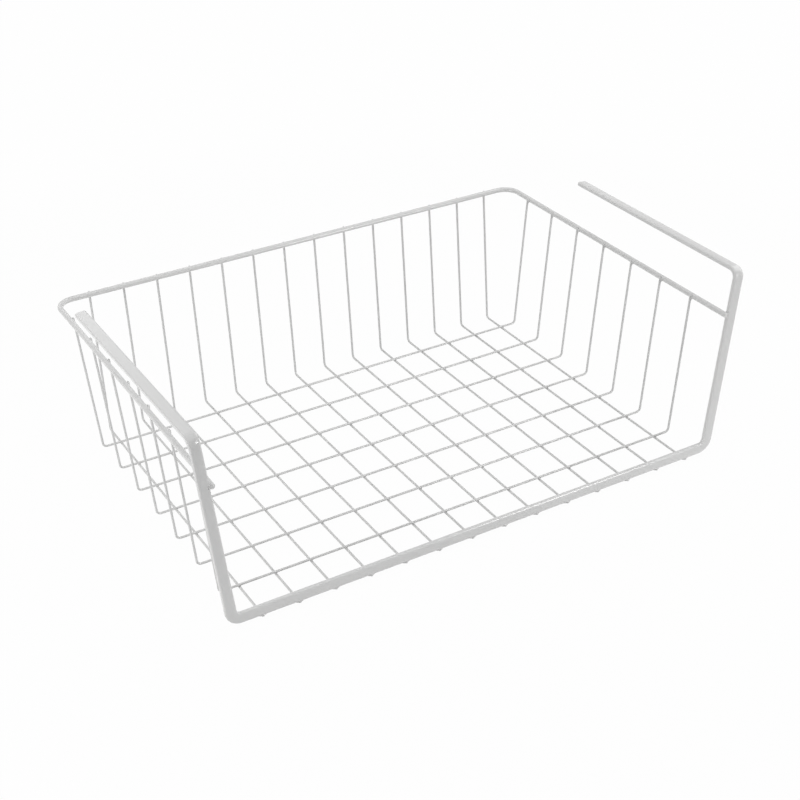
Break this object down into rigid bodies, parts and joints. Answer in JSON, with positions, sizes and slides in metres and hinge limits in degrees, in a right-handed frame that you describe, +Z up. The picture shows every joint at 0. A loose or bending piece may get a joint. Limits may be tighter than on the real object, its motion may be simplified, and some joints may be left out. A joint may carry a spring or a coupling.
{
  "type": "hanging wire basket",
  "caption": "Open-front wire basket that hangs under a shelf board by flat bar arms, with a round rim wire and a welded wire grid for its floor, sides and back.",
  "frame": {"origin": "middle of the outline in plan, at the underside of the floor wires", "axes": "+X to the right as seen from the open front, +Y to the back wall, +Z up"},
  "size_m": [0.4, 0.26, 0.14],
  "materials": {
    "frame_coat": "satin white coat on a flat steel bar",
    "rim_coat": "satin white coat on round steel wire",
    "wire_coat": "satin white coat on thin steel wire"
  },
  "bodies": {
    "root": {"front_frame": "frame_coat", "rim_wire": "rim_coat", "back_wire_01": "wire_coat", "back_wire_02": "wire_coat", "back_wire_03": "wire_coat", "back_wire_04": "wire_coat", "back_wire_05": "wire_coat", "back_wire_06": "wire_coat", "back_wire_07": "wire_coat", "back_wire_08": "wire_coat", "back_wire_09": "wire_coat", "back_wire_10": "wire_coat", "back_wire_11": "wire_coat", "back_wire_12": "wire_coat", "back_wire_13": "wire_coat", "back_wire_14": "wire_coat", "side_wire_1": "wire_coat", "side_wire_2": "wire_coat", "side_wire_3": "wire_coat", "side_wire_4": "wire_coat", "side_wire_5": "wire_coat", "side_wire_6": "wire_coat", "side_wire_7": "wire_coat"}
  },
  "joints": []
}
